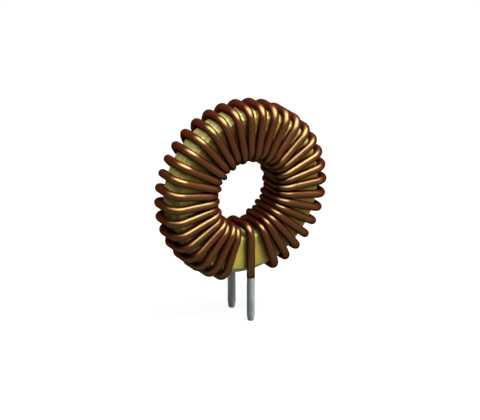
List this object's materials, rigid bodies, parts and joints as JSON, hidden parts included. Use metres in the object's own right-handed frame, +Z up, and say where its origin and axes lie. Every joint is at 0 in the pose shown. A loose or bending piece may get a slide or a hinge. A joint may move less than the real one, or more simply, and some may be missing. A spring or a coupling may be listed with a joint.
{
  "type": "toroidal inductor",
  "caption": "Upright toroidal inductor: a coated ring core wound with enamelled copper wire, on two straight tinned leads for a circuit board.",
  "frame": {"origin": "midway between the two leads, on the seating plane where the lowest turns meet the circuit board", "axes": "+Z up from the board, Y along the ring's axis with the front lead at -Y, X across the ring"},
  "size_m": [0.0248, 0.007, 0.0304],
  "materials": {
    "core_coat": "satin",
    "enamelled_copper": "gloss",
    "tinned_copper": "satin"
  },
  "bodies": {
    "root": {"toroid_core": "core_coat", "winding": "enamelled_copper", "tinned_lead_front": "tinned_copper", "tinned_lead_rear": "tinned_copper"}
  },
  "joints": []
}
